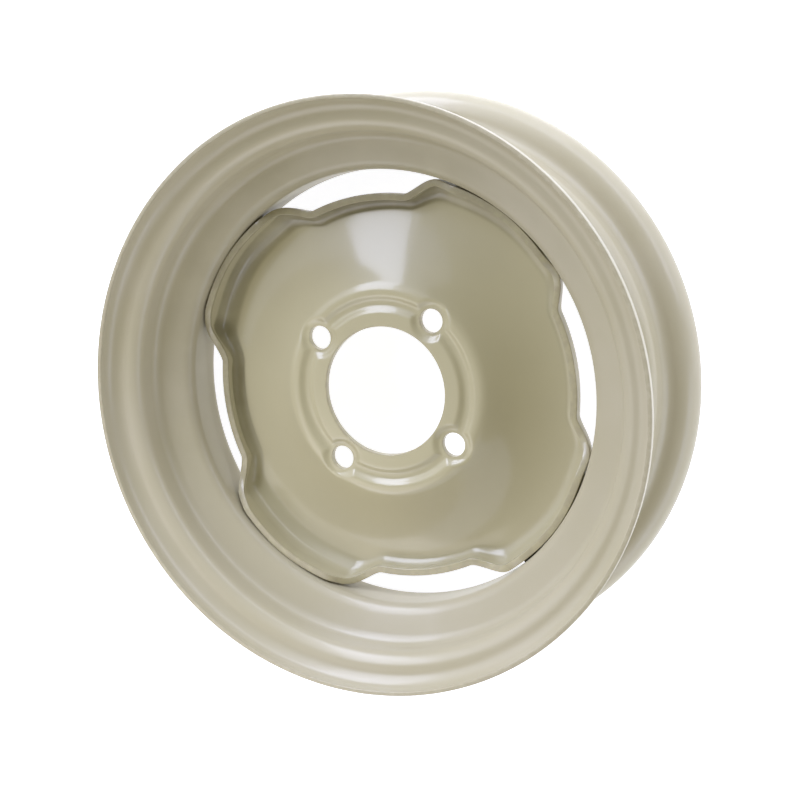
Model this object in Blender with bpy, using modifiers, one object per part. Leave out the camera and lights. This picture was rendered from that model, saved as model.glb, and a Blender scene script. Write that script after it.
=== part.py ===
# A steel wheel for a farm implement, modelled from its real pieces: a rolled
# drop-centre rim, a pressed disc, and the four weld beads that join the two.
#
# Units are metres and +Z is up. The wheel lies on its rear flange, so its axle
# line is the Z axis, its front face looks up, and a slot is centred on +X.

from math import acos, atan2, cos, hypot, pi, sin, sqrt, tau

import bmesh
import bpy

# Rim, sizes of the rolled section
BEAD_SEAT_DIAMETER = 0.3040
WIDTH_BETWEEN_FLANGES = 0.0762
FLANGE_HEIGHT = 0.0175
LIP_WIDTH = 0.01375
RIM_SHEET = 0.0025
BEAD_SEAT_WIDTH = 0.0170
BEAD_SEAT_DROP = 0.0015
WELL_DEPTH = 0.0227
WELL_SIDE_LEAN = 0.0068
CURL_RADIUS = 0.0105
HEEL_RADIUS = 0.0076
WELL_TOP_RADIUS = 0.0085
WELL_BOTTOM_RADIUS = 0.0065
LIP_EDGE_BREAK = 0.0005
VALVE_HOLE_DIAMETER = 0.0160

# Disc, sizes of the pressing. The setbacks run outward: from the bore's edge to
# the bolt circle, which is 101.6 mm across, and from there to the dome's crest.
DISC_SHEET = 0.0040
BORE_DIAMETER = 0.0750
BOLT_SETBACK = 0.0133
BOLT_HOLE_DIAMETER = 0.0138
BOLT_COUNT = 4
CREST_SETBACK = 0.0097
HUB_FACE_INSET = 0.0400
DISH_DEPTH = 0.0205
CREST_ROUNDING = 0.0028
RECESS_DEPTH = 0.0022
RECESS_FLOOR_WIDTH = 0.0024
RECESS_WALL_WIDTH = 0.0040
BOSS_FLOOR_RADIUS = 0.0086
SLOT_GAP = 0.0140
SLOT_FLOOR_HALF_ANGLE = 15 * pi / 180
SLOT_END_ANGLE = 26 * pi / 180
EDGE_RISE_START_ANGLE = 20 * pi / 180
EDGE_RISE_END_ANGLE = 31 * pi / 180
LOBE_FLANGE_HEIGHT = 0.0190
SLOT_FLANGE_HEIGHT = 0.0105
LOBE_BEND_RADIUS = 0.0105
SLOT_BEND_RADIUS = 0.0050
LOBE_RELIEF = 0.0012

# Weld beads
BEAD_HALF_ANGLE = 15 * pi / 180
BEAD_ROOT_GAP = 0.0010
BEAD_TOE_ANGLE = 50 * pi / 180
BEAD_CROWN = 0.0010
BEAD_END_TAPER = 0.25

# Clearance between pieces that touch, and how finely round forms are divided
SEAT_CLEARANCE = 0.0003
RIM_FACETS = 56
DISC_SECTORS = 88
ARC_STEP = 32 * pi / 180
HOLE_FACETS = 24
LAND_RING_STEPS = 3
RECESS_RING_STEPS = 2
CREST_RING_STEPS = 2
DISH_RING_STEPS = 5
BEND_RING_STEPS = 3
BEAD_STATIONS = 12

# Places that follow from the sizes above
OVERALL_WIDTH = WIDTH_BETWEEN_FLANGES + 2 * LIP_WIDTH
MID_PLANE = OVERALL_WIDTH / 2
OUTER_RADIUS = BEAD_SEAT_DIAMETER / 2 + FLANGE_HEIGHT
WELL_INNER_RADIUS = BEAD_SEAT_DIAMETER / 2 - WELL_DEPTH - RIM_SHEET
WELL_SEAT_RADIUS = WELL_INNER_RADIUS * cos(pi / RIM_FACETS) - SEAT_CLEARANCE
BOLT_RADIUS = BORE_DIAMETER / 2 + BOLT_SETBACK
CREST_RADIUS = BOLT_RADIUS + CREST_SETBACK
BOLT_PITCH = tau / BOLT_COUNT
HUB_FACE = OVERALL_WIDTH - HUB_FACE_INSET
VALLEY = HUB_FACE - DISH_DEPTH
VALLEY_RADIUS = WELL_SEAT_RADIUS - DISC_SHEET - LOBE_BEND_RADIUS

PAINT = (0.50, 0.44, 0.33, 1.0)


def clear_scene():
    for thing in list(bpy.data.objects):
        bpy.data.objects.remove(thing, do_unlink=True)


def make_collection(name):
    group = bpy.data.collections.new(name)
    bpy.context.scene.collection.children.link(group)
    return group


def painted_steel(name, roughness):
    material = bpy.data.materials.new(name)
    material.use_nodes = True
    shader = material.node_tree.nodes["Principled BSDF"]
    shader.inputs["Base Color"].default_value = PAINT
    shader.inputs["Metallic"].default_value = 0.0
    shader.inputs["Roughness"].default_value = roughness
    material.diffuse_color = PAINT
    return material


def add_object(name, mesh, group, material=None):
    thing = bpy.data.objects.new(name, mesh)
    group.objects.link(thing)
    if material:
        mesh.materials.append(material)
    return thing


def finish_shading(thing):
    thing.data.shade_smooth()
    thing.data.set_sharp_from_angle(angle=40 * pi / 180)


def make_cutter(name, radius, length, place, turn, group):
    """A cylinder that cuts a round hole; it is never part of the wheel."""
    mesh = bpy.data.meshes.new(name)
    shape = bmesh.new()
    bmesh.ops.create_cone(shape, cap_ends=True, segments=HOLE_FACETS,
                          radius1=radius, radius2=radius, depth=length)
    shape.to_mesh(mesh)
    shape.free()
    cutter = add_object(name, mesh, group)
    cutter.location = place
    cutter.rotation_euler = turn
    cutter.display_type = "WIRE"
    cutter.hide_render = True
    return cutter


def cut_with(thing, cutter):
    cut = thing.modifiers.new("cut " + cutter.name, "BOOLEAN")
    cut.operation = "DIFFERENCE"
    cut.solver = "EXACT"
    cut.object = cutter


def ease(share):
    """0 to 1 with a soft start and a soft end."""
    share = min(max(share, 0.0), 1.0)
    return share * share * (3 - 2 * share)


def mix(low, high, share):
    return low + (high - low) * share


def soft_ramp(distance, rounding):
    """0 before a corner and the distance after it, with the corner rounded."""
    if distance <= -rounding:
        return 0.0
    if distance >= rounding:
        return distance
    return (distance + rounding) ** 2 / (4 * rounding)


# The rim: half of the rolled section is a line with rounded corners, mirrored
# about the mid-plane. The line is the middle of the sheet.

def half_section_corners():
    """Corners (radius, height over the mid-plane, rounding), lip to well."""
    half_sheet = RIM_SHEET / 2
    seat = BEAD_SEAT_DIAMETER / 2 - half_sheet
    wall = WIDTH_BETWEEN_FLANGES / 2 + half_sheet
    seat_end = WIDTH_BETWEEN_FLANGES / 2 - BEAD_SEAT_WIDTH
    well = WELL_INNER_RADIUS + half_sheet
    return [
        (OUTER_RADIUS - half_sheet, OVERALL_WIDTH / 2, 0.0),
        (OUTER_RADIUS - half_sheet, wall, CURL_RADIUS),
        (seat, wall, HEEL_RADIUS),
        (seat - BEAD_SEAT_DROP, seat_end, WELL_TOP_RADIUS),
        (well, seat_end - WELL_SIDE_LEAN, WELL_BOTTOM_RADIUS),
        (well, 0.0, 0.0),
    ]


def rounded_line(corners):
    """Points (radius, height, normal radius, normal height) along a line."""
    first, second = corners[0], corners[1]
    run = hypot(second[0] - first[0], second[1] - first[1])
    toward = ((second[0] - first[0]) / run, (second[1] - first[1]) / run)
    points = [(first[0], first[1], -toward[1], toward[0])]
    for before, corner, after in zip(corners, corners[1:], corners[2:]):
        come = (corner[0] - before[0], corner[1] - before[1])
        leave = (after[0] - corner[0], after[1] - corner[1])
        come_angle = atan2(come[1], come[0])
        turn = (atan2(leave[1], leave[0]) - come_angle + pi) % tau - pi
        side = 1 if turn > 0 else -1
        radius = corner[2]
        set_back = radius * sqrt((1 - cos(turn)) / (1 + cos(turn)))
        start = (corner[0] - set_back * cos(come_angle),
                 corner[1] - set_back * sin(come_angle))
        centre = (start[0] - side * radius * sin(come_angle),
                  start[1] + side * radius * cos(come_angle))
        steps = max(1, round(abs(turn) / ARC_STEP))
        for step in range(steps + 1):
            heading = come_angle + turn * step / steps
            normal = (-sin(heading), cos(heading))
            points.append((centre[0] - side * radius * normal[0],
                           centre[1] - side * radius * normal[1],
                           normal[0], normal[1]))
    return points


def sheet_outline(line, thickness, edge_break):
    """The closed outline of a sheet that follows a line, its ends eased."""
    half = thickness / 2
    near = [(r + half * nr, h + half * nh) for r, h, nr, nh in line]
    far = [(r - half * nr, h - half * nh) for r, h, nr, nh in line]

    def end_points(index, inward):
        r, h, nr, nh = line[index]
        along = (nh * inward, -nr * inward)
        flat = half - edge_break
        return ((r + half * nr + edge_break * along[0], h + half * nh + edge_break * along[1]),
                (r + flat * nr, h + flat * nh),
                (r - flat * nr, h - flat * nh),
                (r - half * nr + edge_break * along[0], h - half * nh + edge_break * along[1]))

    start = end_points(0, 1)
    finish = end_points(-1, -1)
    return ([start[1], start[0]] + near[1:-1] + [finish[0], finish[1]]
            + [finish[2], finish[3]] + far[-2:0:-1] + [start[3], start[2]])


def make_rim(group, cutters, material):
    upper = rounded_line(half_section_corners())
    lower = [(r, -h, nr, -nh) for r, h, nr, nh in reversed(upper)]
    outline = sheet_outline(upper + lower, RIM_SHEET, LIP_EDGE_BREAK)
    mesh = bpy.data.meshes.new("rim")
    shape = bmesh.new()
    ring = [shape.verts.new((r, 0.0, MID_PLANE + h)) for r, h in outline]
    for start, end in zip(ring, ring[1:] + ring[:1]):
        shape.edges.new((start, end))
    shape.to_mesh(mesh)
    shape.free()
    rim = add_object("rim", mesh, group, material)

    turn = rim.modifiers.new("turned section", "SCREW")
    turn.axis = "Z"
    turn.steps = RIM_FACETS
    turn.render_steps = RIM_FACETS
    turn.use_merge_vertices = True
    turn.merge_threshold = 0.00001
    turn.use_smooth_shade = True

    valve = make_cutter("valve_hole_cutter", VALVE_HOLE_DIAMETER / 2, 4 * WELL_DEPTH,
                        (WELL_INNER_RADIUS + RIM_SHEET / 2, 0.0, MID_PLANE),
                        (0.0, pi / 2, 0.0), cutters)
    cut_with(rim, valve)
    return rim


# The disc: one round dome from the hub to the bottom of the dish, and a flange
# that stands further out on the four lobes than between them. Between the lobes
# the flange turns up before the dome has reached its bottom.

def angle_from_slot(angle):
    """0 at the middle of a slot, half a bolt pitch at the middle of a lobe."""
    return abs((angle + BOLT_PITCH / 2) % BOLT_PITCH - BOLT_PITCH / 2)


def lobe_share(angle):
    """0 along a slot and 1 on a lobe."""
    reach = SLOT_END_ANGLE - SLOT_FLOOR_HALF_ANGLE
    return ease((angle_from_slot(angle) - SLOT_FLOOR_HALF_ANGLE) / reach)


def flange_radius(angle):
    """The flange's inner face."""
    on_lobe = WELL_SEAT_RADIUS - DISC_SHEET
    beside_slot = WELL_INNER_RADIUS - SLOT_GAP - DISC_SHEET
    past_slot = BOLT_PITCH / 2 - SLOT_END_ANGLE
    relief = 1 - ease((angle_from_slot(angle) - SLOT_END_ANGLE) / past_slot)
    return mix(beside_slot, on_lobe - LOBE_RELIEF * relief, lobe_share(angle))


def bend_radius(angle):
    return mix(SLOT_BEND_RADIUS, LOBE_BEND_RADIUS, lobe_share(angle))


def flange_height(angle):
    """The flange's free edge over the bottom of the dish."""
    reach = EDGE_RISE_END_ANGLE - EDGE_RISE_START_ANGLE
    rise = ease((angle_from_slot(angle) - EDGE_RISE_START_ANGLE) / reach)
    return mix(SLOT_FLANGE_HEIGHT, LOBE_FLANGE_HEIGHT, rise)


def recess_depth(radius, angle):
    """The groove through the bolt circle, widened to a flat boss at each bolt."""
    from_bolt = (angle % BOLT_PITCH) - BOLT_PITCH / 2
    across = radius * cos(from_bolt) - BOLT_RADIUS
    along = radius * sin(from_bolt)
    from_groove = abs(radius - BOLT_RADIUS) - RECESS_FLOOR_WIDTH / 2
    from_boss = hypot(across, along) - BOSS_FLOOR_RADIUS
    return RECESS_DEPTH * (1 - ease(min(from_groove, from_boss) / RECESS_WALL_WIDTH))


def dish_height(radius, angle):
    """The front face from the bore to the bottom of the dish."""
    past_crest = soft_ramp(radius - CREST_RADIUS, CREST_ROUNDING)
    share = min(past_crest / (VALLEY_RADIUS - CREST_RADIUS), 1.0)
    drop = DISH_DEPTH * (1 - (1 - share) ** 2)
    return HUB_FACE - drop - recess_depth(radius, angle)


def dish_slope(radius):
    """The angle at which the dome falls outward."""
    reach = VALLEY_RADIUS - CREST_RADIUS
    share = min((radius - CREST_RADIUS) / reach, 1.0)
    return atan2(2 * DISH_DEPTH * (1 - share), reach)


def divide(start, end, steps):
    """Values that divide a stretch evenly, without its start."""
    return [mix(start, end, (step + 1) / steps) for step in range(steps)]


def disc_section(angle):
    """Points (radius, height) of the front face, from the bore to the edge."""
    bore = BORE_DIAMETER / 2
    floor_inner = BOLT_RADIUS - RECESS_FLOOR_WIDTH / 2
    floor_outer = BOLT_RADIUS + RECESS_FLOOR_WIDTH / 2
    wall_inner = floor_inner - RECESS_WALL_WIDTH
    wall_outer = floor_outer + RECESS_WALL_WIDTH
    bend = bend_radius(angle)
    flange = flange_radius(angle)
    slope = dish_slope(flange - bend)
    bend_start = flange - bend * (1 + sin(slope))

    radii = [bore] + divide(bore, wall_inner, LAND_RING_STEPS)
    radii += divide(wall_inner, floor_inner, RECESS_RING_STEPS) + [floor_outer]
    radii += divide(floor_outer, wall_outer, RECESS_RING_STEPS)
    radii += divide(wall_outer, CREST_RADIUS, CREST_RING_STEPS)
    radii += divide(CREST_RADIUS, bend_start, DISH_RING_STEPS)
    section = [(radius, dish_height(radius, angle)) for radius in radii]

    centre_height = section[-1][1] + bend * cos(slope)
    for swing in divide(-slope, pi / 2, BEND_RING_STEPS):
        section.append((flange - bend * (1 - sin(swing)), centre_height - bend * cos(swing)))
    section.append((flange, VALLEY + flange_height(angle)))
    return section


def make_disc(group, cutters, material):
    mesh = bpy.data.meshes.new("disc")
    shape = bmesh.new()
    columns = []
    for sector in range(DISC_SECTORS):
        angle = tau * sector / DISC_SECTORS
        columns.append([shape.verts.new((radius * cos(angle), radius * sin(angle), height))
                        for radius, height in disc_section(angle)])
    for left, right in zip(columns, columns[1:] + columns[:1]):
        for ring in range(len(left) - 1):
            shape.faces.new((left[ring], left[ring + 1], right[ring + 1], right[ring]))
    shape.to_mesh(mesh)
    shape.free()
    disc = add_object("disc", mesh, group, material)

    sheet = disc.modifiers.new("sheet", "SOLIDIFY")
    sheet.thickness = DISC_SHEET
    sheet.offset = -1
    sheet.use_even_offset = True

    for bolt in range(BOLT_COUNT):
        angle = BOLT_PITCH * (bolt + 0.5)
        place = (BOLT_RADIUS * cos(angle), BOLT_RADIUS * sin(angle), HUB_FACE)
        cutter = make_cutter("bolt_hole_cutter_%d" % (bolt + 1), BOLT_HOLE_DIAMETER / 2,
                             8 * DISC_SHEET, place, (0.0, 0.0, angle), cutters)
        cut_with(disc, cutter)
    finish_shading(disc)
    return disc


# A weld bead fills the notch between the back of a lobe's bend and the well.

def bead_section(angle, size):
    """Points (radius, height) across the bead, drawn in towards its root."""
    bend = bend_radius(angle)
    centre = (flange_radius(angle) - bend, VALLEY + bend)
    corner_reach = DISC_SHEET / cos(pi / 4 / BEND_RING_STEPS)
    back = bend + corner_reach + SEAT_CLEARANCE
    well = WELL_SEAT_RADIUS
    root_angle = acos((well - BEAD_ROOT_GAP - centre[0]) / back)
    toe_angle = mix(root_angle, BEAD_TOE_ANGLE, size)

    def on_back(swing):
        return centre[0] + back * cos(swing), centre[1] - back * sin(swing)

    toe = on_back(toe_angle)
    crown = ((toe[0] + well) / 2, toe[1] - BEAD_CROWN * size)
    return [(well, on_back(root_angle)[1]), (well, toe[1]), crown, toe,
            on_back((root_angle + toe_angle) / 2), on_back(root_angle)]


def make_bead_mesh(material):
    mesh = bpy.data.meshes.new("weld_bead")
    shape = bmesh.new()
    rings = []
    for station in range(BEAD_STATIONS + 1):
        along = station / BEAD_STATIONS * 2 - 1
        size = mix(BEAD_END_TAPER, 1.0, sqrt(1 - along ** 4))
        angle = BOLT_PITCH / 2 + along * BEAD_HALF_ANGLE
        rings.append([shape.verts.new((radius * cos(angle), radius * sin(angle), height))
                      for radius, height in bead_section(angle, size)])
    for near, far in zip(rings, rings[1:]):
        for point in range(len(near)):
            after = (point + 1) % len(near)
            shape.faces.new((near[point], near[after], far[after], far[point]))
    shape.faces.new(rings[0][::-1])
    shape.faces.new(rings[-1])
    bmesh.ops.recalc_face_normals(shape, faces=shape.faces)
    shape.to_mesh(mesh)
    shape.free()
    mesh.materials.append(material)
    return mesh


def make_beads(group, material):
    mesh = make_bead_mesh(material)
    for bolt in range(BOLT_COUNT):
        bead = add_object("weld_bead_%d" % (bolt + 1), mesh, group)
        bead.rotation_euler = (0.0, 0.0, BOLT_PITCH * bolt)
        finish_shading(bead)


def main():
    clear_scene()
    wheel = make_collection("implement_wheel_rim")
    cutters = make_collection("cutters")
    make_rim(wheel, cutters, painted_steel("rim_paint", 0.35))
    make_disc(wheel, cutters, painted_steel("disc_paint", 0.35))
    make_beads(wheel, painted_steel("weld_paint", 0.5))


main()
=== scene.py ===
# %% [markdown]
# # A painted steel wheel for a farm implement
#
# This lesson dresses a small four-bolt wheel. The real one is made from two sheets of steel: a strip
# that rollers bend into the rim, and a disc that a press draws into a dome. Four welds at the back join
# them, and one coat of cream enamel covers everything. There are few parts, so the work is in
# three things: true curves, the thin edges of the sheets, and a paint that shines the way enamel does.
#
# The imported model already holds every piece at its real size. It is loaded first, and the box of
# any of its pieces can be read from it. Nothing made here may grow past it.

# %% Load the imported model
from math import cos, pi, radians, sin, tan, tau

import bmesh
import bpy
from mathutils import Matrix, Vector


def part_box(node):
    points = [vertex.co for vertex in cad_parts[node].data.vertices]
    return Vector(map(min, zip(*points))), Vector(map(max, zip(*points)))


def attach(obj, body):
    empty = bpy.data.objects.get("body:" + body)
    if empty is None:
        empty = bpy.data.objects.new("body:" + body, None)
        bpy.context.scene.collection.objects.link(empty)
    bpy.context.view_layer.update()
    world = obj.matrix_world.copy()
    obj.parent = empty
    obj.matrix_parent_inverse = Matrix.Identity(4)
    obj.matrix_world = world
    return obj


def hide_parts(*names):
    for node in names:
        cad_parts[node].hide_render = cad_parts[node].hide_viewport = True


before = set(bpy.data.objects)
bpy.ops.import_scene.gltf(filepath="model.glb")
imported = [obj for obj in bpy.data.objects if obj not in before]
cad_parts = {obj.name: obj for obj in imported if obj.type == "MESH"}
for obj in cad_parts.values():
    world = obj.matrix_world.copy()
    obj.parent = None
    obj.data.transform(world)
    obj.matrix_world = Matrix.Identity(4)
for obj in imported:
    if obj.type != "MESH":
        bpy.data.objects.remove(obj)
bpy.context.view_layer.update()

print("nodes in the frame:", sorted(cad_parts))

# %% [markdown]
# ## The sizes
#
# The outside diameter and the width are read from the frame, so the camera and the studio follow the
# wheel; a margin of two thousandths of a millimetre keeps the rounded figures inside the solids' box.
# The section sizes are the ones that a wheel maker's drawing gives: where the tyre's bead sits, how deep
# the well is, how thick the sheets are.

# %% Read the outside sizes and name the section sizes
BOX_MARGIN = 0.000002
rim_low, rim_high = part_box("rim")
OUTER_RADIUS = (rim_high.x - rim_low.x) / 2 - BOX_MARGIN
OVERALL_WIDTH = rim_high.z - rim_low.z
MID_PLANE = OVERALL_WIDTH / 2
OUTSIDE_DIAMETER = 2 * OUTER_RADIUS

RIM_SHEET = 0.0025
LIP_WIDTH = 0.01375
FLANGE_HEIGHT = 0.0175
BEAD_SEAT_RADIUS = OUTER_RADIUS - FLANGE_HEIGHT
BEAD_SEAT_WIDTH = 0.0170
BEAD_SEAT_DROP = 0.0015
WELL_DEPTH = 0.0227
WELL_SIDE_LEAN = 0.0068
CURL_RADIUS = 0.0105
HEEL_RADIUS = 0.0076
WELL_TOP_RADIUS = 0.0085
WELL_BOTTOM_RADIUS = 0.0065
VALVE_HOLE_RADIUS = 0.0080
WELL_INNER_RADIUS = BEAD_SEAT_RADIUS - WELL_DEPTH - RIM_SHEET

DISC_SHEET = 0.0040
BORE_RADIUS = 0.0375
BOLT_RADIUS = 0.0508
BOLT_HOLE_RADIUS = 0.0069
BOLT_COUNT = 4
BOLT_PITCH = tau / BOLT_COUNT
CREST_RADIUS = 0.0605
CREST_ROUNDING = 0.0028
HUB_FACE_SETBACK = 0.0400
HUB_FACE = OVERALL_WIDTH - HUB_FACE_SETBACK
DISH_DEPTH = 0.0205
VALLEY = HUB_FACE - DISH_DEPTH
RECESS_DEPTH = 0.0022
RECESS_FLOOR_WIDTH = 0.0024
RECESS_WALL_WIDTH = 0.0040
BOSS_FLOOR_RADIUS = 0.0086
SLOT_GAP = 0.0140
SLOT_FLOOR_HALF_ANGLE = radians(15)
SLOT_END_ANGLE = radians(26)
EDGE_RISE_START_ANGLE = radians(20)
EDGE_RISE_END_ANGLE = radians(31)
SLOT_FLANGE_HEIGHT = 0.0105
LOBE_FLANGE_HEIGHT = 0.0190
SLOT_BEND_RADIUS = 0.0050
LOBE_BEND_RADIUS = 0.0105
LOBE_RELIEF = 0.0012
SEAT_CLEARANCE = 0.0002

print("wheel %.1f mm across, %.1f mm wide" % (OUTSIDE_DIAMETER * 1000, OVERALL_WIDTH * 1000))

# %% [markdown]
# ## The camera
#
# The camera comes before any surface, because every later choice is judged through it. The photo was
# taken from the front of the wheel, from the right and a little above. Two angles say how the axle line
# leans in the picture, one says how far the wheel is turned about it, and a distance of
# less than three diameters gives the strong perspective that makes the near lip look so much larger.

# %% Place the camera
AXLE_TILT = radians(26.50)
AXLE_TURN = radians(24.09)
WHEEL_SPIN = radians(6.71)
CAMERA_DISTANCE = 2.733 * OUTSIDE_DIAMETER
AIM_SIDEWAYS = -0.0746 * OUTSIDE_DIAMETER
AIM_UPWARD = -0.0065 * OUTSIDE_DIAMETER
SENSOR_WIDTH = 36.0
LENS = 75.2

axle_seen = Vector((-sin(AXLE_TILT) * cos(AXLE_TURN), -sin(AXLE_TILT) * sin(AXLE_TURN), cos(AXLE_TILT)))
upright = (Vector((0, 1, 0)) - axle_seen * axle_seen.y).normalized()
sideways = upright.cross(axle_seen)
view_axes = Matrix((sideways, upright, axle_seen))
front_centre = Vector((0, 0, OVERALL_WIDTH))
eye = front_centre - view_axes @ Vector((AIM_SIDEWAYS, AIM_UPWARD, -CAMERA_DISTANCE))
spin = Matrix.Rotation(-WHEEL_SPIN, 4, "Z")
camera_place = spin @ Matrix.Translation(eye) @ view_axes.to_4x4()

camera_data = bpy.data.cameras.new("studio_camera")
camera_data.sensor_width = SENSOR_WIDTH
camera_data.lens = LENS
camera = bpy.data.objects.new("studio_camera", camera_data)
bpy.context.scene.collection.objects.link(camera)
camera.matrix_world = camera_place
bpy.context.scene.camera = camera
print("camera at", [round(value, 3) for value in camera.location])

# %% [markdown]
# ## Sums inside a node tree
#
# Geometry Nodes can hold the rule of a surface, but a long sum needs many Math nodes, and lines of
# links are hard to read. This small class wraps a socket, so that a sum is written as in ordinary
# Python, and each sign adds the Math node that Blender would want.

# %% A value that adds Math nodes
class Term:
    """One value in a node tree. Adding or multiplying terms adds Math nodes to the tree."""

    def __init__(self, tree, socket):
        self.tree = tree
        self.socket = socket

    def __add__(self, other):
        return calculate("ADD", self, other)

    __radd__ = __add__

    def __sub__(self, other):
        return calculate("SUBTRACT", self, other)

    def __rsub__(self, other):
        return calculate("SUBTRACT", other, self)

    def __mul__(self, other):
        return calculate("MULTIPLY", self, other)

    __rmul__ = __mul__

    def __truediv__(self, other):
        return calculate("DIVIDE", self, other)


def feed(tree, socket, value):
    """Links a term into a socket, or sets the socket to a plain number."""
    if isinstance(value, Term):
        tree.links.new(value.socket, socket)
    else:
        socket.default_value = value


def calculate(operation, *values):
    tree = next(value.tree for value in values if isinstance(value, Term))
    node = tree.nodes.new("ShaderNodeMath")
    node.operation = operation
    for socket, value in zip(node.inputs, values):
        feed(tree, socket, value)
    return Term(tree, node.outputs[0])


# %% [markdown]
# The next helpers put nodes into a tree by name and give the tree its named inputs. A tree
# made this way is used once: its result is turned into a plain mesh, and the modifier goes.

# %% Build a tree with named inputs
NODES_IN_COLUMN = 8
COLUMN_SPACING = 220
ROW_SPACING = 180


def add_node(tree, kind, inputs=None, **settings):
    """A node with its settings and inputs by name. Nodes are laid out in columns, to be looked at."""
    node = tree.nodes.new(kind)
    column, row = divmod(len(tree.nodes), NODES_IN_COLUMN)
    node.location = (COLUMN_SPACING * column, -ROW_SPACING * row)
    for name, value in settings.items():
        setattr(node, name, value)
    for name, value in (inputs or {}).items():
        feed(tree, node.inputs[name], value)
    return node


def output(node, name=0):
    return Term(node.id_data, node.outputs[name])


def new_geometry_tree(name, sizes):
    """A tree with a geometry input and one named input for each size."""
    tree = bpy.data.node_groups.new(name, "GeometryNodeTree")
    tree.interface.new_socket("Geometry", in_out="INPUT", socket_type="NodeSocketGeometry")
    tree.interface.new_socket("Geometry", in_out="OUTPUT", socket_type="NodeSocketGeometry")
    for label, value in sizes.items():
        kind = "NodeSocketInt" if isinstance(value, int) else "NodeSocketFloat"
        tree.interface.new_socket(label, in_out="INPUT", socket_type=kind)
    entry = add_node(tree, "NodeGroupInput")
    return tree, {socket.name: Term(tree, socket) for socket in entry.outputs if socket.name}


def finish_tree(tree, geometry, material):
    """Ends a tree in Realize Instances and Set Material."""
    real = add_node(tree, "GeometryNodeRealizeInstances", {"Geometry": geometry})
    smooth = add_node(tree, "GeometryNodeSetShadeSmooth", {"Geometry": output(real)})
    paint = add_node(tree, "GeometryNodeSetMaterial", {"Geometry": output(smooth), "Material": material})
    leave = add_node(tree, "NodeGroupOutput")
    tree.links.new(paint.outputs[0], leave.inputs[0])


# %% Run a tree and keep its result as a plain mesh
def run_tree(name, tree, sizes, start_mesh):
    """Runs the tree on a mesh and returns a new object that holds the plain result."""
    source = bpy.data.objects.new(name + "_source", start_mesh)
    bpy.context.scene.collection.objects.link(source)
    step = source.modifiers.new(tree.name, "NODES")
    step.node_group = tree
    for item in tree.interface.items_tree:
        if item.in_out == "INPUT" and item.name in sizes:
            step[item.identifier] = sizes[item.name]
    return baked(source, name)


def baked(source, name):
    """A plain mesh object from what the modifiers make, in place of the object that had them."""
    bpy.context.view_layer.update()
    graph = bpy.context.evaluated_depsgraph_get()
    mesh = bpy.data.meshes.new_from_object(source.evaluated_get(graph), depsgraph=graph)
    mesh.name = name
    bpy.data.objects.remove(source, do_unlink=True)
    piece = bpy.data.objects.new(name, mesh)
    bpy.context.scene.collection.objects.link(piece)
    return piece


# %% Turn a grid about the axle line
SEAM_GAP = 0.000005


def turned_grid(tree, rows, columns):
    """A grid of one by one: returns the mesh, and its two coordinates running from 0 to 1."""
    grid = add_node(tree, "GeometryNodeMeshGrid", {"Vertices X": rows, "Vertices Y": columns})
    place = add_node(tree, "GeometryNodeInputPosition")
    parts = add_node(tree, "ShaderNodeSeparateXYZ", {"Vector": output(place)})
    return output(grid, "Mesh"), output(parts, "X") + 0.5, output(parts, "Y") + 0.5


def set_round_place(tree, geometry, radius, angle, height):
    """Moves each point to a radius, an angle about the axle line and a height, and closes seams."""
    across = radius * calculate("COSINE", angle)
    along = radius * calculate("SINE", angle)
    place = add_node(tree, "ShaderNodeCombineXYZ", {"X": across, "Y": along, "Z": height})
    moved = add_node(tree, "GeometryNodeSetPosition",
                     {"Geometry": geometry, "Position": output(place)})
    closed = add_node(tree, "GeometryNodeMergeByDistance",
                      {"Geometry": output(moved), "Distance": SEAM_GAP})
    return output(closed)


# %% [markdown]
# ## The paint
#
# Cream enamel over steel. It is sprayed thick, so it hides the steel's grain and leaves a
# faint orange peel, which only shows where a light is mirrored in it. The paint runs thin on the
# sheets' cut edges, and painted shade darkens the folds that the light reaches least.
#
# A paint's colour is never quite even. Three things are layered here: broad clouds, where the gun laid
# more or less paint; painted shade, in the folds; and the edges, where the film is thin. The folds and
# the edges come from a number that every painted mesh carries, called "bend": it is above 0 on a ridge
# and below 0 in a fold. It is measured on the finished meshes further down.

# %% Helpers for the paint's nodes
def object_place(tree):
    return output(add_node(tree, "ShaderNodeTexCoord"), "Object")


def clouds(tree, place, scale, detail=2.0):
    """Soft noise from 0 to 1. The scale is in clouds for each metre."""
    node = add_node(tree, "ShaderNodeTexNoise", {"Vector": place, "Scale": scale, "Detail": detail})
    return output(node, 0)


def share_between(tree, value, low, high):
    """0 below the low value, 1 above the high one, and soft between them."""
    node = add_node(tree, "ShaderNodeMapRange", interpolation_type="SMOOTHSTEP")
    for name, number in (("Value", value), ("From Min", low), ("From Max", high)):
        feed(tree, node.inputs[name], number)
    return output(node, "Result")


def blend_colour(tree, share, first, second):
    """The first colour at a share of 0, the second at 1. A Mix node's sockets 6 and 7 are colours."""
    node = add_node(tree, "ShaderNodeMix", data_type="RGBA")
    feed(tree, node.inputs["Factor"], share)
    feed(tree, node.inputs[6], first)
    feed(tree, node.inputs[7], second)
    return output(node, 2)


def raised(tree, height, depth, below=None):
    """Bumps of the given depth in metres, over those of another bump node."""
    node = add_node(tree, "ShaderNodeBump", {"Height": height, "Distance": depth, "Strength": 1.0})
    if below:
        feed(tree, node.inputs["Normal"], below)
    return output(node, "Normal")
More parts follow.
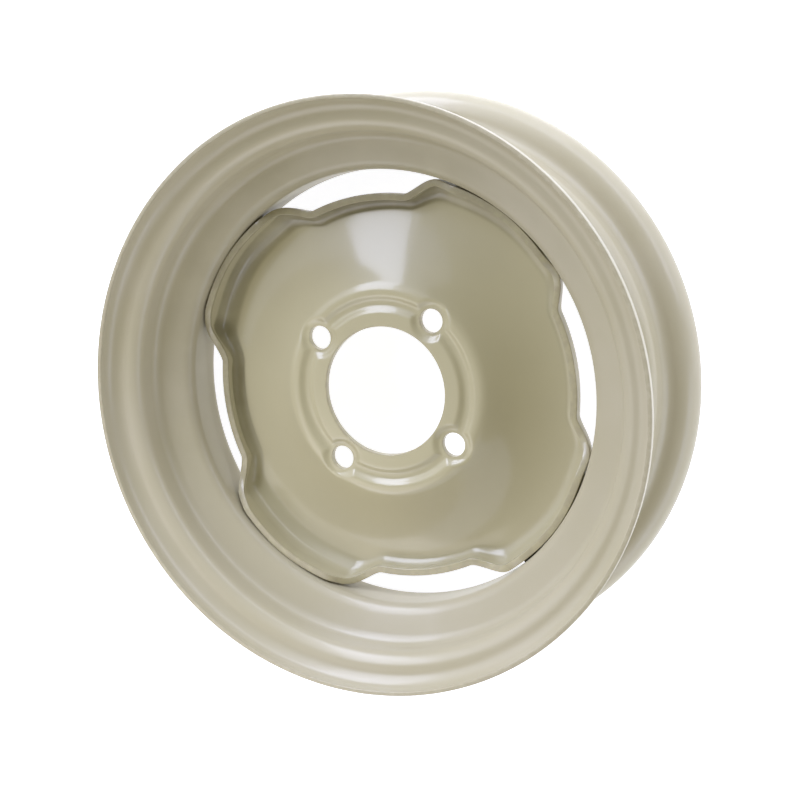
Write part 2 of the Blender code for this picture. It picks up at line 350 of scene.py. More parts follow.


# %% [markdown]
# The bumps have two scales. The broad one is the sheet itself, which rolls and presses leave slightly
# wavy; it bends the mirrored lights a little, and that is what makes a reflection look like steel. The
# fine one is the orange peel, about two millimetres across and only hundredths of a millimetre deep.
# Each part adds its own marks: rolling leaves lines that run round the rim, drawing leaves faint
# rays on the disc, and the welds have a rough skin.
#
# The shine has two layers. The body of the paint gives a broad soft sheen, and a coat over it mirrors
# the lights with a clear edge. The disc faces the spray gun squarely, so it gets the most coat.
#
# Painted shade darkens the folds and edges round the dome, and the rim's well, as shade falls there.
# It is darker toward one angle of the wheel, because the shade falls more on that side.

# %% Choose the paint's tones and sizes
RIM_CREAM = (0.490, 0.447, 0.330, 1.0)
# Painted shade: the disc's cream is the rim's cream made more olive, as the enamel looks in shade; one
# coat covers both.
OLIVE_SHADED_CREAM = (0.490, 0.447, 0.285, 1.0)
CLOUD_TONE = (0.435, 0.393, 0.255, 1.0)
EDGE_TONE = (0.39, 0.345, 0.235, 1.0)
# Painted shade: this dark olive tone is laid into the folds, on the edges round the dome and in the
# rim's well.
PAINTED_SHADE_TONE = (0.13, 0.11, 0.05, 1.0)
CLOUDS_A_METRE = 14.0
CLOUD_SHARE = 0.45
SPECKLES_A_METRE = 900.0
SPECKLE_SHARE = 0.15
WORN_SPOTS_A_METRE = 220.0
WORN_SHARE = 0.6

# Sizes of the painted shade: its patches, where it lies, and the side of the wheel where it is darker.
SHADE_PATCHES_A_METRE = 45.0
EVEN_SHADE_SHARE = 0.65
SOFT_FOLD = 0.015
SHARP_FOLD = 0.07
SOFT_RIDGE = 0.10
SHARP_RIDGE = 0.35
RIDGE_SHADE = 0.6
DOME_SHADE_START = 0.070
DOME_SHADE_END = 0.090
WELL_SHADE_END = 0.138
WELL_SHADE_START = 0.150
SHADED_SIDE_ANGLE = radians(110)
LIT_SIDE_ENDS = -0.4
SHADED_SIDE_STARTS = 0.8
LIT_SIDE_SHARE = 0.12

PAINT_IOR = 1.5
GLOSS_ROUGHNESS = 0.11
CLOUD_ROUGHENING = 0.05
PAINTED_SHADE_ROUGHENING = 0.25
WEAR_ROUGHENING = 0.08
WAVES_A_METRE = 1 / 0.038
WAVE_DEPTH = 0.00008
PEEL_SPOTS_A_METRE = 1 / 0.0021
PEEL_DEPTH = 0.000012


# %% Say where the metal's own lines run and where the painted shade lies
def round_place(tree, place, around, across, along):
    """Coordinates that follow the turning: stretched round the axle line, across it and along it."""
    parts = add_node(tree, "ShaderNodeSeparateXYZ", {"Vector": place})
    x, y, z = output(parts, "X"), output(parts, "Y"), output(parts, "Z")
    radius = calculate("SQRT", x * x + y * y)
    shaped = add_node(tree, "ShaderNodeCombineXYZ",
                      {"X": x / radius * around, "Y": y / radius * around,
                       "Z": radius * across + z * along})
    return output(shaped)


def painted_fold_shade(tree, place, bend, fold_shade, well_shade):
    """Painted shade in the folds and on the edges around the dome, and in the rim's well, darker on one
    side.
    """
    parts = add_node(tree, "ShaderNodeSeparateXYZ", {"Vector": place})
    x, y = output(parts, "X"), output(parts, "Y")
    from_axle = calculate("SQRT", x * x + y * y)
    toward_side = (x * cos(SHADED_SIDE_ANGLE) + y * sin(SHADED_SIDE_ANGLE)) / from_axle
    side = share_between(tree, toward_side, LIT_SIDE_ENDS, SHADED_SIDE_STARTS)
    side = side * (1 - LIT_SIDE_SHARE) + LIT_SIDE_SHARE
    in_folds = share_between(tree, 0 - bend, SOFT_FOLD, SHARP_FOLD)
    on_ridges = share_between(tree, bend, SOFT_RIDGE, SHARP_RIDGE) * RIDGE_SHADE
    past_hub = share_between(tree, from_axle, DOME_SHADE_START, DOME_SHADE_END)
    in_well = share_between(tree, 0 - from_axle, -WELL_SHADE_START, -WELL_SHADE_END)
    return ((in_folds + on_ridges) * past_hub * fold_shade + in_well * well_shade) * side


# %% Mix the enamel
def enamel(name, cream, roughness, gloss, fold_shade, well_shade, marks, mark_depth, peel=1.0):
    """The shared paint. The marks are the stretch (around, across, along) of the metal's own lines.

    The roughness is that of the paint's body, and the gloss is how much coat lies over it.
    """
    paint = bpy.data.materials.new(name)
    paint.use_nodes = True
    tree = paint.node_tree
    shader = tree.nodes["Principled BSDF"]
    place = object_place(tree)
    bend = output(add_node(tree, "ShaderNodeAttribute", attribute_name="bend"), "Fac")

    cloud = share_between(tree, clouds(tree, place, CLOUDS_A_METRE, 4.0), 0.3, 0.7)
    speckle = clouds(tree, place, SPECKLES_A_METRE, 1.0)
    shade_cloud = share_between(tree, clouds(tree, place, SHADE_PATCHES_A_METRE, 3.0), 0.2, 0.7)
    shade_patches = shade_cloud * (1 - EVEN_SHADE_SHARE) + EVEN_SHADE_SHARE
    # Painted shade: the folds, the edges round the dome and the rim's well are darkened, most on one
    # side.
    painted_shade = painted_fold_shade(tree, place, bend, fold_shade, well_shade) * shade_patches
    worn = share_between(tree, clouds(tree, place, WORN_SPOTS_A_METRE, 4.0), 0.35, 0.6)
    thin_edge = share_between(tree, bend, 0.2, 0.6) * worn
    colour = blend_colour(tree, cloud * CLOUD_SHARE + speckle * SPECKLE_SHARE, cream, CLOUD_TONE)
    colour = blend_colour(tree, thin_edge * WORN_SHARE, colour, EDGE_TONE)
    colour = blend_colour(tree, painted_shade, colour, PAINTED_SHADE_TONE)
    feed(tree, shader.inputs["Base Color"], colour)

    body_roughness = roughness + (cloud - 0.5) * CLOUD_ROUGHENING
    feed(tree, shader.inputs["Roughness"],
         body_roughness + painted_shade * PAINTED_SHADE_ROUGHENING + thin_edge * WEAR_ROUGHENING)
    shader.inputs["IOR"].default_value = PAINT_IOR
    shader.inputs["Coat Weight"].default_value = gloss
    shader.inputs["Coat Roughness"].default_value = GLOSS_ROUGHNESS

    waves = raised(tree, clouds(tree, place, WAVES_A_METRE, 1.0), WAVE_DEPTH)
    lines = raised(tree, clouds(tree, round_place(tree, place, *marks), 1.0, 2.0), mark_depth, waves)
    skin = raised(tree, clouds(tree, place, PEEL_SPOTS_A_METRE, 2.0), PEEL_DEPTH * peel, lines)
    feed(tree, shader.inputs["Normal"], skin)
    feed(tree, shader.inputs["Coat Normal"], skin)
    return paint


# %% Make the three paints
# The two shade amounts set how much painted shade each paint gets, in the folds and in the well.
rim_paint = enamel("rim_enamel", RIM_CREAM, roughness=0.34, gloss=0.25, fold_shade=0.05,
                   well_shade=0.26, marks=(9.0, 260.0, 260.0), mark_depth=0.000012)
disc_paint = enamel("disc_enamel", OLIVE_SHADED_CREAM, roughness=0.38, gloss=0.75, fold_shade=0.80,
                    well_shade=0.0, marks=(40.0, 14.0, 0.0), mark_depth=0.00002)
weld_paint = enamel("weld_enamel", OLIVE_SHADED_CREAM, roughness=0.42, gloss=0.15, fold_shade=0.20,
                    well_shade=0.0, marks=(60.0, 400.0, 400.0), mark_depth=0.00006, peel=2.0)
print("paints:", rim_paint.name, disc_paint.name, weld_paint.name)

# %% [markdown]
# ## The rim
#
# The rim is a strip of steel that passes between rollers until its section is right, and is then bent
# round and welded. Its section is drawn here as a line of corners, and each corner has its own
# rounding. Fillet Curve rounds them, Sample Curve walks along the line, and a grid carries the
# section round the axle line. Solidify then gives the strip its thickness and Bevel eases its edges.

# %% Draw the section as corners
SECTION_POINTS = 168
TURN_STEPS = 224
CORNER_STEPS = 20


def half_section_corners():
    """Corners (radius, height over the mid-plane, rounding), from the lip to the well."""
    half_sheet = RIM_SHEET / 2
    lip_radius = OUTER_RADIUS - half_sheet
    wall = OVERALL_WIDTH / 2 - LIP_WIDTH + half_sheet
    seat = BEAD_SEAT_RADIUS - half_sheet
    seat_end = OVERALL_WIDTH / 2 - LIP_WIDTH - BEAD_SEAT_WIDTH
    well = WELL_INNER_RADIUS + half_sheet
    return [
        (lip_radius, OVERALL_WIDTH / 2, 0.0),
        (lip_radius, wall, CURL_RADIUS),
        (seat, wall, HEEL_RADIUS),
        (seat - BEAD_SEAT_DROP, seat_end, WELL_TOP_RADIUS),
        (well, seat_end - WELL_SIDE_LEAN, WELL_BOTTOM_RADIUS),
    ]


def section_mesh():
    upper = half_section_corners()
    lower = [(radius, -height, rounding) for radius, height, rounding in reversed(upper)]
    corners = upper + lower
    mesh = bpy.data.meshes.new("rim_section")
    points = [(radius, 0.0, MID_PLANE + height) for radius, height, rounding in corners]
    mesh.from_pydata(points, [(i, i + 1) for i in range(len(points) - 1)], [])
    rounding = mesh.attributes.new("rounding", "FLOAT", "POINT")
    rounding.data.foreach_set("value", [corner[2] for corner in corners])
    return mesh


# %% Round the corners and turn the section about the axle line
def make_rim():
    sizes = {"Section Points": SECTION_POINTS, "Turn Steps": TURN_STEPS, "Corner Steps": CORNER_STEPS}
    tree, given = new_geometry_tree("rolled_rim", sizes)
    line = add_node(tree, "GeometryNodeMeshToCurve", {"Mesh": given["Geometry"]})
    rounding = add_node(tree, "GeometryNodeInputNamedAttribute", {"Name": "rounding"},
                        data_type="FLOAT")
    rounded = add_node(tree, "GeometryNodeFilletCurve",
                       {"Curve": output(line), "Radius": output(rounding),
                        "Count": given["Corner Steps"]}, mode="POLY")
    grid, along, round_share = turned_grid(tree, given["Section Points"], given["Turn Steps"] + 1)
    sample = add_node(tree, "GeometryNodeSampleCurve",
                      {"Curves": output(rounded), "Factor": along}, mode="FACTOR")
    parts = add_node(tree, "ShaderNodeSeparateXYZ", {"Vector": output(sample, "Position")})
    turned = set_round_place(tree, grid, output(parts, "X"), round_share * tau, output(parts, "Z"))
    finish_tree(tree, turned, rim_paint)
    return run_tree("painted_rim", tree, sizes, section_mesh())


painted_rim = make_rim()
print("rim section turned:", len(painted_rim.data.polygons), "faces")

# %% [markdown]
# The turned surface has no thickness yet. Solidify gives it half a sheet to each side, which is why the
# corners above were drawn on the middle of the sheet. Bevel then finds the two sharp edges of each lip
# and eases them, as a deburring wheel does. The valve's hole is cut last, by a cutter whose ends flare,
# so the cut leaves the soft edge that thick paint gives a punched hole.

# %% Give a sheet its thickness and eased edges
EDGE_EASE = 0.0006
EDGE_STEPS = 3
SHARP_EDGE = radians(50)


def thicken(piece, thickness, offset):
    sheet = piece.modifiers.new("sheet", "SOLIDIFY")
    sheet.thickness = thickness
    sheet.offset = offset
    sheet.use_even_offset = True
    ease_edges = piece.modifiers.new("eased edges", "BEVEL")
    ease_edges.width = EDGE_EASE
    ease_edges.segments = EDGE_STEPS
    ease_edges.limit_method = "ANGLE"
    ease_edges.angle_limit = SHARP_EDGE


# %% Shape a cutter for a hole
HOLE_SIDES = 64
HOLE_FLARE = 0.0003
FLARE_STEPS = 4
CUT_OVERLAP = 0.00004


def hole_cutter(radius, sheet_thickness, place, turn, paint):
    """A cutter for a hole through a sheet centred on its origin, flared at both faces."""
    half = sheet_thickness / 2 + CUT_OVERLAP
    mouth = 4 * HOLE_FLARE
    profile = [(radius + mouth, half + mouth)]
    for step in range(FLARE_STEPS + 1):
        swing = pi / 2 * step / FLARE_STEPS
        profile.append((radius + HOLE_FLARE * (1 - sin(swing)), half - HOLE_FLARE * (1 - cos(swing))))
    profile += [(across, -along) for across, along in reversed(profile)]
    corners = [(cos(tau * i / HOLE_SIDES), sin(tau * i / HOLE_SIDES)) for i in range(HOLE_SIDES)]
    shape = bmesh.new()
    rings = []
    for across, along in profile:
        rings.append([shape.verts.new((across * x, across * y, along)) for x, y in corners])
    for upper, lower in zip(rings, rings[1:]):
        for i in range(HOLE_SIDES):
            j = (i + 1) % HOLE_SIDES
            shape.faces.new((upper[i], lower[i], lower[j], upper[j]))
    shape.faces.new(rings[0])
    shape.faces.new(rings[-1][::-1])
    bmesh.ops.recalc_face_normals(shape, faces=shape.faces)
    mesh = bpy.data.meshes.new("hole_cutter")
    shape.to_mesh(mesh)
    shape.free()
    mesh.materials.append(paint)
    cutter = bpy.data.objects.new("hole_cutter", mesh)
    cutter.location = place
    cutter.rotation_euler = turn
    bpy.context.scene.collection.objects.link(cutter)
    return cutter


# %% Cut the holes
SHARP_SHADING = radians(35)


def cut_holes(piece, cutters):
    """Cuts every hole and leaves a plain, smooth-shaded mesh."""
    name = piece.name
    for cutter in cutters:
        cut = piece.modifiers.new("hole", "BOOLEAN")
        cut.operation = "DIFFERENCE"
        cut.object = cutter
    piece.name = name + "_uncut"
    done = baked(piece, name)
    for cutter in cutters:
        bpy.data.objects.remove(cutter, do_unlink=True)
    done.data.shade_smooth()
    done.data.set_sharp_from_angle(angle=SHARP_SHADING)
    return done


# %% Give the rim its sheet and its valve hole
thicken(painted_rim, RIM_SHEET, 0.0)
valve_place = (WELL_INNER_RADIUS + RIM_SHEET / 2, 0, MID_PLANE)
valve_cutter = hole_cutter(VALVE_HOLE_RADIUS, RIM_SHEET, valve_place, (0, pi / 2, 0), rim_paint)
painted_rim = cut_holes(painted_rim, [valve_cutter])
print("rim finished:", len(painted_rim.data.polygons), "faces")

# %% [markdown]
# ## The disc
#
# A press draws the disc in one stroke: flat at the hub, steep at the crest, flat again in the valley,
# and up into a flange. The dome is round. The flange isn't: it reaches the rim on four lobes and turns
# up sooner between them, which is what leaves the four slots. All this is one rule in radius and angle,
# so one grid and a tree of sums make the whole surface. The rule's sizes are the tree's inputs; those
# of the flange are kept apart, because the welds follow it too.

# %% Name the sizes of the drawn disc
FLANGE_SIZES = {
    "Valley": VALLEY,
    "Lobe Radius": WELL_INNER_RADIUS - SEAT_CLEARANCE - DISC_SHEET,
    "Slot Radius": WELL_INNER_RADIUS - SLOT_GAP - DISC_SHEET,
    "Slot Floor Angle": SLOT_FLOOR_HALF_ANGLE, "Slot End Angle": SLOT_END_ANGLE,
    "Slot Bend": SLOT_BEND_RADIUS, "Lobe Bend": LOBE_BEND_RADIUS, "Lobe Relief": LOBE_RELIEF,
}
DISC_SIZES = dict(FLANGE_SIZES, **{
    "Bore Radius": BORE_RADIUS, "Crest Radius": CREST_RADIUS, "Crest Rounding": CREST_ROUNDING,
    "Dish Depth": DISH_DEPTH,
    "Rise Start Angle": EDGE_RISE_START_ANGLE, "Rise End Angle": EDGE_RISE_END_ANGLE,
    "Slot Flange Height": SLOT_FLANGE_HEIGHT, "Lobe Flange Height": LOBE_FLANGE_HEIGHT,
})
print("the dome falls %.1f mm from its crest to its valley" % (DISH_DEPTH * 1000))


# %% Rules that the disc and the welds share
def limit(value, low=0.0, high=1.0):
    return calculate("MINIMUM", calculate("MAXIMUM", value, low), high)


def ease(share):
    """0 to 1 with a soft start and a soft end."""
    share = limit(share)
    return share * share * (3 - 2 * share)


def mix(low, high, share):
    return low + (high - low) * share


def soft_ramp(distance, rounding):
    """0 before a corner and the distance after it, with the corner rounded."""
    near = limit(distance, 0 - rounding, rounding) + rounding
    return near * near / (4 * rounding) + calculate("MAXIMUM", distance - rounding, 0.0)


def angle_from_slot(angle):
    past_lobe = calculate("MODULO", angle + BOLT_PITCH / 2, BOLT_PITCH)
    return calculate("ABSOLUTE", past_lobe - BOLT_PITCH / 2)


def lobe_share(angle, given):
    """0 along a slot and 1 on a lobe."""
    return ease((angle_from_slot(angle) - given["Slot Floor Angle"])
                / (given["Slot End Angle"] - given["Slot Floor Angle"]))


def flange_radius(angle, given):
    """The flange's inner face, drawn in a little at each end of a lobe."""
    lobe_half_angle = BOLT_PITCH / 2 - given["Slot End Angle"]
    past_slot = (angle_from_slot(angle) - given["Slot End Angle"]) / lobe_half_angle
    on_lobe = given["Lobe Radius"] - given["Lobe Relief"] * (1 - ease(past_slot))
    return mix(given["Slot Radius"], on_lobe, lobe_share(angle, given))


def flange_height(angle, given):
    past_start = angle_from_slot(angle) - given["Rise Start Angle"]
    rise = past_start / (given["Rise End Angle"] - given["Rise Start Angle"])
    return mix(given["Slot Flange Height"], given["Lobe Flange Height"], ease(rise))


def bend_radius(angle, given):
    return mix(given["Slot Bend"], given["Lobe Bend"], lobe_share(angle, given))


# %% Draw the dome and its flange
DISC_RINGS = 96
DISC_SECTORS = 352
DISH_SHARE = 0.72
BEND_SHARE = 0.94


def make_disc():
    sizes = dict(DISC_SIZES, **{"Rings": DISC_RINGS, "Sectors": DISC_SECTORS})
    tree, given = new_geometry_tree("drawn_disc", sizes)
    grid, outward, round_share = turned_grid(tree, given["Rings"], given["Sectors"] + 1)
    angle = round_share * tau
    bend = bend_radius(angle, given)
    flange = flange_radius(angle, given)
    dome_reach = given["Lobe Radius"] - given["Lobe Bend"] - given["Crest Radius"]

    def left_to_fall(radius):
        past_crest = soft_ramp(radius - given["Crest Radius"], given["Crest Rounding"])
        return 1 - limit(past_crest / dome_reach)

    steepness = 2 * given["Dish Depth"] * left_to_fall(flange - bend) / dome_reach
    slope = calculate("ARCTANGENT", steepness)
    bend_start = flange - bend * (1 + calculate("SINE", slope))
    reach = mix(given["Bore Radius"], bend_start, limit(outward / DISH_SHARE))
    swing = mix(0 - slope, pi / 2, limit((outward - DISH_SHARE) / (BEND_SHARE - DISH_SHARE)))
    climb = limit((outward - BEND_SHARE) / (1 - BEND_SHARE))

    still_high = left_to_fall(reach)
    dish = given["Valley"] + given["Dish Depth"] * still_high * still_high
    bend_top = dish + bend * calculate("COSINE", slope)
    edge = given["Valley"] + flange_height(angle, given)
    radius = reach + bend * (calculate("SINE", swing) + calculate("SINE", slope))
    height = bend_top - bend * calculate("COSINE", swing) + (edge - bend_top) * climb
    finish_tree(tree, set_round_place(tree, grid, radius, angle, height), disc_paint)
    return run_tree("painted_disc", tree, sizes, bpy.data.meshes.new("blank"))


painted_disc = make_disc()
thicken(painted_disc, DISC_SHEET, -1.0)
painted_disc.name = "painted_disc_blank"
painted_disc = baked(painted_disc, "painted_disc")
print("disc drawn:", len(painted_disc.data.polygons), "faces")

# %% [markdown]
# The second stroke of the press sinks a ring through the bolt circle, with a round flat seat at each
# bolt. It is a tree of its own that moves points down, front and back alike, so the sheet keeps its
# thickness. At the back the steel can't follow so sharp a wall, so the wall there is wider.

# %% Sink the ring and the bolt seats
BACK_WALL_WIDTH = 1.25 * RECESS_WALL_WIDTH
PRESS_SIZES = {
    "Bolt Radius": BOLT_RADIUS, "Recess Depth": RECESS_DEPTH, "Half Floor": RECESS_FLOOR_WIDTH / 2,
    "Boss Radius": BOSS_FLOOR_RADIUS, "Front Wall": RECESS_WALL_WIDTH, "Back Wall": BACK_WALL_WIDTH,
}


def press_recess(disc):
    tree, given = new_geometry_tree("pressed_recess", PRESS_SIZES)
    place = add_node(tree, "GeometryNodeInputPosition")
    parts = add_node(tree, "ShaderNodeSeparateXYZ", {"Vector": output(place)})
    facing = add_node(tree, "GeometryNodeInputNormal")
    facing_parts = add_node(tree, "ShaderNodeSeparateXYZ", {"Vector": output(facing)})
    x, y = output(parts, "X"), output(parts, "Y")
    radius = calculate("SQRT", x * x + y * y)
    angle = calculate("ARCTAN2", y, x) + tau
    from_bolt = calculate("MODULO", angle, BOLT_PITCH) - BOLT_PITCH / 2
    across = radius * calculate("COSINE", from_bolt) - given["Bolt Radius"]
    along = radius * calculate("SINE", from_bolt)
    from_groove = calculate("ABSOLUTE", radius - given["Bolt Radius"]) - given["Half Floor"]
    from_boss = calculate("SQRT", across * across + along * along) - given["Boss Radius"]
    front = calculate("GREATER_THAN", output(facing_parts, "Z"), 0.0)
    wall = mix(given["Back Wall"], given["Front Wall"], front)
    sink = given["Recess Depth"] * (1 - ease(calculate("MINIMUM", from_groove, from_boss) / wall))
    shift = add_node(tree, "ShaderNodeCombineXYZ", {"Z": 0 - sink})
    moved = add_node(tree, "GeometryNodeSetPosition",
                     {"Geometry": given["Geometry"], "Offset": output(shift)})
    finish_tree(tree, output(moved), disc_paint)
    pressed = run_tree("pressed_disc", tree, PRESS_SIZES, disc.data)
    bpy.data.objects.remove(disc, do_unlink=True)
    return pressed


painted_disc = press_recess(painted_disc)
painted_disc.name = "painted_disc"

# %% Punch the bolt holes
bolt_height = HUB_FACE - RECESS_DEPTH - DISC_SHEET / 2
bolt_cutters = []
for bolt in range(BOLT_COUNT):
    angle = BOLT_PITCH * (bolt + 0.5)
    place = (BOLT_RADIUS * cos(angle), BOLT_RADIUS * sin(angle), bolt_height)
    bolt_cutters.append(hole_cutter(BOLT_HOLE_RADIUS, DISC_SHEET, place, (0, 0, 0), disc_paint))
painted_disc = cut_holes(painted_disc, bolt_cutters)
print("disc finished:", len(painted_disc.data.polygons), "faces")

# %% [markdown]
# ## The welds
#
# Four beads at the back hold the disc in the rim. A bead is laid as a row of small puddles, each frozen
# over the last, so its face is a row of crescents. The tree lofts one closed section along a lobe and
# lifts its face in ripples. Each bead is the same tree with another middle angle.

# %% Name the sizes of a bead
BEAD_STATIONS = 320
BEAD_ROUND = 24
BEAD_SIZES = dict(FLANGE_SIZES, **{
    "Sheet": DISC_SHEET, "Well Radius": WELL_INNER_RADIUS - SEAT_CLEARANCE / 2,
    "Half Angle": radians(15), "Toe Angle": radians(50), "Root Gap": 0.0010, "Crown": 0.0008,
    "Ripple Height": 0.00028, "Ripple Count": 38.0, "Ripple Bow": 1.6,
    "Stations": BEAD_STATIONS, "Round Steps": BEAD_ROUND, "Middle Angle": 0.0,
})
FACE_SHARE = 0.55
BACK_SHARE = 0.85
END_ROUNDING = 6.0
INWARD_BULGE = 0.3
print("ripples on each bead:", int(BEAD_SIZES["Ripple Count"]))


# %% Lay the four beads
def make_bead(number, middle_angle):
    sizes = dict(BEAD_SIZES, **{"Middle Angle": middle_angle})
    tree, given = new_geometry_tree("weld_bead", sizes)
    grid, along, round_share = turned_grid(tree, given["Stations"], given["Round Steps"] + 1)
    offset = along * 2 - 1
    angle = given["Middle Angle"] + offset * given["Half Angle"]
    toward_end = calculate("POWER", calculate("ABSOLUTE", offset), END_ROUNDING)
    size = calculate("SQRT", calculate("MAXIMUM", 1 - toward_end, 0.0))

    bend = bend_radius(angle, given)
    centre = flange_radius(angle, given) - bend
    centre_height = given["Valley"] + bend
    back = bend + given["Sheet"]
    root_angle = calculate("ARCCOSINE", (given["Well Radius"] - given["Root Gap"] - centre) / back)
    toe_angle = mix(root_angle, given["Toe Angle"], size)

    face = limit(round_share / FACE_SHARE)
    up_back = limit((round_share - FACE_SHARE) / (BACK_SHARE - FACE_SHARE))
    down_well = limit((round_share - BACK_SHARE) / (1 - BACK_SHARE))
    swing = mix(toe_angle, root_angle, up_back)
    toe = centre + back * calculate("COSINE", toe_angle)
    toe_height = centre_height - back * calculate("SINE", toe_angle)
    root = centre + back * calculate("COSINE", root_angle)
    root_height = centre_height - back * calculate("SINE", root_angle)

    phase = along * given["Ripple Count"] + given["Ripple Bow"] * (face - 0.5) * (face - 0.5) * 4
    ripple = given["Ripple Height"] * calculate("ABSOLUTE", calculate("SINE", phase * pi))
    bulge = (given["Crown"] + ripple) * calculate("SINE", face * pi) * size
    outward = calculate("COSINE", swing) - calculate("COSINE", toe_angle)
    downward = calculate("SINE", swing) - calculate("SINE", toe_angle)
    radius = (mix(given["Well Radius"], toe, face) + back * outward
              + (given["Well Radius"] - root) * down_well - bulge * INWARD_BULGE)
    height = (toe_height - back * downward
              + (toe_height - root_height) * down_well - bulge)
    finish_tree(tree, set_round_place(tree, grid, radius, angle, height), weld_paint)
    return run_tree("painted_weld_%d" % number, tree, sizes, bpy.data.meshes.new("blank"))


painted_beads = [make_bead(bolt + 1, BOLT_PITCH * (bolt + 0.5)) for bolt in range(BOLT_COUNT)]
print("bead faces:", [len(bead.data.polygons) for bead in painted_beads])

# %% [markdown]
# ## Ridges and folds
#
# The paint needs to know where the surface turns sharply. Along every edge of a mesh, the normals at its
# two ends spread apart on a ridge and close up in a fold: how much they do so for each metre is the
# curvature. Geometry Nodes measure it, Blur Attribute spreads it a little, and it is stored on
# the mesh as "bend". A ridge as sharp as the ridge size gets 1, a fold as sharp gets -1.

# %% Sums of vectors, and the normals at an edge's ends
def vector_sum(tree, operation, first, second):
    node = add_node(tree, "ShaderNodeVectorMath", {0: first, 1: second}, operation=operation)
    return output(node, "Value" if operation == "DOT_PRODUCT" else "Vector")


def normals_at_ends(tree, ends):
    """The surface's normal at each of the two ends of an edge."""
    normal = output(add_node(tree, "GeometryNodeInputNormal"))
    found = []
    for end_name in ("Vertex Index 1", "Vertex Index 2"):
        node = add_node(tree, "GeometryNodeFieldAtIndex", {"Index": output(ends, end_name)},
                        data_type="FLOAT_VECTOR", domain="POINT")
        feed(tree, node.inputs["Value"], normal)
        found.append(output(node))
    return found


# %% Measure the bend of every painted mesh
RIDGE_SIZE = 0.0010
BEND_BLUR = 4


def measure_bend(piece, paint):
    sizes = {"Ridge Size": RIDGE_SIZE, "Blur Steps": BEND_BLUR}
    tree, given = new_geometry_tree("measured_bend", sizes)
    ends = add_node(tree, "GeometryNodeInputMeshEdgeVertices")
    normals = normals_at_ends(tree, ends)
    spread = vector_sum(tree, "SUBTRACT", normals[1], normals[0])
    run = vector_sum(tree, "SUBTRACT", output(ends, "Position 2"), output(ends, "Position 1"))
    curvature = vector_sum(tree, "DOT_PRODUCT", spread, run) / vector_sum(tree, "DOT_PRODUCT", run, run)
    on_edges = add_node(tree, "GeometryNodeFieldOnDomain", {"Value": curvature * given["Ridge Size"]},
                        data_type="FLOAT", domain="EDGE")
    blurred = add_node(tree, "GeometryNodeBlurAttribute",
                       {"Value": output(on_edges), "Iterations": given["Blur Steps"]},
                       data_type="FLOAT")
    kept = add_node(tree, "GeometryNodeStoreNamedAttribute",
                    {"Geometry": given["Geometry"], "Name": "bend", "Value": output(blurred)},
                    data_type="FLOAT", domain="POINT")
    finish_tree(tree, output(kept), paint)
    name = piece.name
    piece.name = name + "_unmeasured"
    measured = run_tree(name, tree, sizes, piece.data)
    bpy.data.objects.remove(piece, do_unlink=True)
    measured.data.materials.clear()
    measured.data.materials.append(paint)
    values = sorted(item.value for item in measured.data.attributes["bend"].data)
    print(name, "bend from %.2f to %.2f" % (values[len(values) // 100], values[-len(values) // 100]))
    return measured


painted_rim = measure_bend(painted_rim, rim_paint)
painted_disc = measure_bend(painted_disc, disc_paint)
painted_beads = [measure_bend(bead, weld_paint) for bead in painted_beads]

# %% [markdown]
# ## Putting the pieces into the frame
#
# Each painted piece stands for its solid and rides on the one body.

# %% Ride and replace
def stand_for(piece, node):
    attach(piece, "root")
    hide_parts(node)


stand_for(painted_rim, "rim")
stand_for(painted_disc, "disc")
for number, bead in enumerate(painted_beads, 1):
    stand_for(bead, "weld_bead_%d" % number)

# %% [markdown]
# ## Floor and light
#
# The photo is a catalogue picture: the wheel stands in a white room, and white shows through every
# hole. Here the floor takes the part of the white wall behind it. It glows, as a lit table does, or
# the floor inside the wheel would lie in its shadow. The glow leans to blue, because the cream paint
# around it makes it warmer again, and together they give white. It is far wider than the wheel needs,
# so its edge also stays out of the picture when the wheel is seen from low down.

# %% Lay the floor
FLOOR_SIZE = 30.0
FLOOR_WHITE = (0.90, 0.90, 0.90, 1.0)
FLOOR_ROUGHNESS = 0.9
FLOOR_GLOW = 0.77
FLOOR_GLOW_COLOUR = (0.86, 0.89, 1.0, 1.0)
FLOOR_DROP = 0.0003

bpy.ops.mesh.primitive_plane_add(size=FLOOR_SIZE, location=(0, 0, -FLOOR_DROP))
floor = bpy.context.object
floor.name = "floor"
floor_paint = bpy.data.materials.new("pale_floor")
floor_paint.use_nodes = True
floor_shader = floor_paint.node_tree.nodes["Principled BSDF"]
floor_shader.inputs["Base Color"].default_value = FLOOR_WHITE
floor_shader.inputs["Roughness"].default_value = FLOOR_ROUGHNESS
floor_shader.inputs["Emission Color"].default_value = FLOOR_GLOW_COLOUR
floor_shader.inputs["Emission Strength"].default_value = FLOOR_GLOW
floor.data.materials.append(floor_paint)

# %% [markdown]
# The light comes from a few large panels, and enamel mirrors them, so their place and size can be
# read from the photo's highlights. The bright band on the dish is one tall narrow window that leans. The
# pale outside of the rim needs a long panel, low on the right. A card hangs near the wheel on the left,
# so the near side is brighter than the far side. The rest is soft and weak. Daylight is bluer than the
# light of the room, which keeps the shadows warm. A panel is given by its direction from the wheel, its
# distance, how wide and high it looks from there, its roll, how far it is shifted along its own height
# in metres, its colour and how bright its face is; from these the lamp's size and power follow.

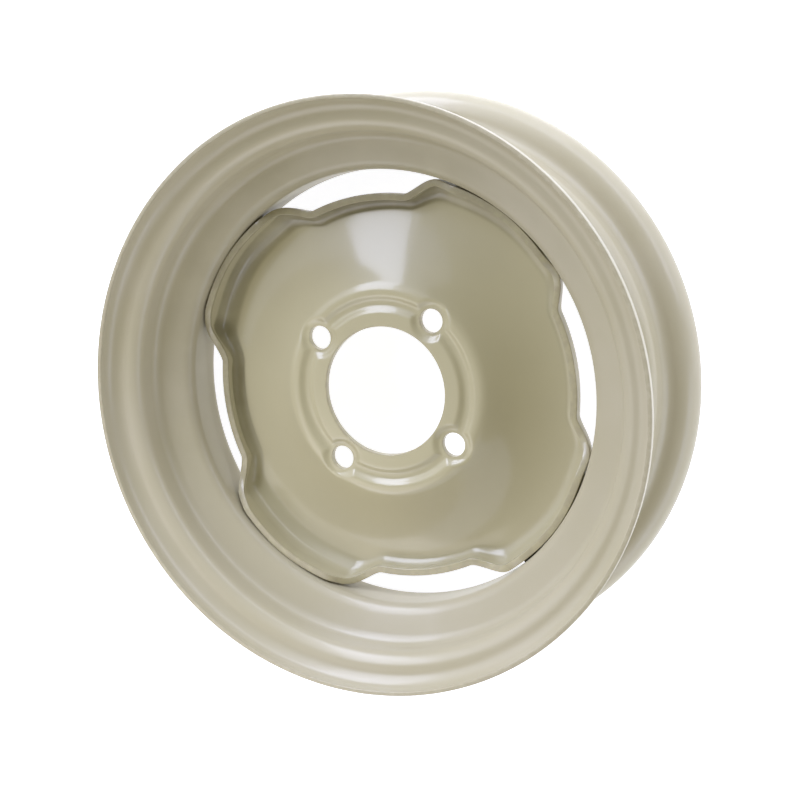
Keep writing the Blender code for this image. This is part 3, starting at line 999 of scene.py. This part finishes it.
# %% Hang the panels
DAYLIGHT = (0.72, 0.77, 1.0)
SOFT_WHITE = (1.0, 0.96, 1.0)
PANELS = {
    # name: (azimuth, elevation, distance, looks wide, looks high, roll, shift, colour, brightness)
    "tall_window": (98.2, 0.6, 1.3, 27.1, 106.8, -21.3, 1.8, DAYLIGHT, 7.6),
    "wall_upper_left": (125, 35, 1.3, 80, 50, 0, 0, DAYLIGHT, 0.95),
    "card_near_left": (220, 40, 0.5, 40, 40, 0, 0, SOFT_WHITE, 1.62),
    "wall_right": (45, 13, 1.3, 80, 22, 0, 0, DAYLIGHT, 3.4),
    "wall_lower_right": (315, 14, 1.3, 60, 24, 0, 0, DAYLIGHT, 2.4),
    "wall_below": (262, 32, 1.3, 70, 34, 0, 0, DAYLIGHT, 1.25),
}
ROOM_COLOUR = (1.0, 0.91, 0.42, 1.0)
ROOM_BRIGHTNESS = 0.26


def hang_panel(name, azimuth, elevation, distance, wide, high, roll, shift, colour, brightness):
    heading = radians(azimuth)
    rise = radians(elevation)
    toward = Vector((cos(rise) * cos(heading), cos(rise) * sin(heading), sin(rise)))
    lamp = bpy.data.lights.new(name, "AREA")
    lamp.shape = "RECTANGLE"
    lamp.size = 2 * distance * tan(radians(wide / 2))
    lamp.size_y = 2 * distance * tan(radians(high / 2))
    lamp.energy = brightness * pi * lamp.size * lamp.size_y
    lamp.color = colour
    upward = (Vector((0, 0, 1)) - toward * toward.z).normalized()
    frame_axes = Matrix((upward.cross(toward), upward, toward)).transposed()
    panel = bpy.data.objects.new(name, lamp)
    frame_axes = frame_axes @ Matrix.Rotation(radians(roll), 3, "Z")
    centre = Vector((0, 0, MID_PLANE)) + toward * distance
    panel.location = centre + frame_axes @ Vector((0, shift, 0))
    panel.rotation_euler = frame_axes.to_euler()
    bpy.context.scene.collection.objects.link(panel)
    print("%s: %.2f by %.2f m, %.1f W" % (name, lamp.size, lamp.size_y, lamp.energy))


for panel_name, numbers in PANELS.items():
    hang_panel(panel_name, *numbers)

room = bpy.data.worlds.new("white_room")
room.use_nodes = True
room.node_tree.nodes["Background"].inputs["Color"].default_value = ROOM_COLOUR
room.node_tree.nodes["Background"].inputs["Strength"].default_value = ROOM_BRIGHTNESS
bpy.context.scene.world = room
bpy.context.scene.view_settings.view_transform = "Standard"
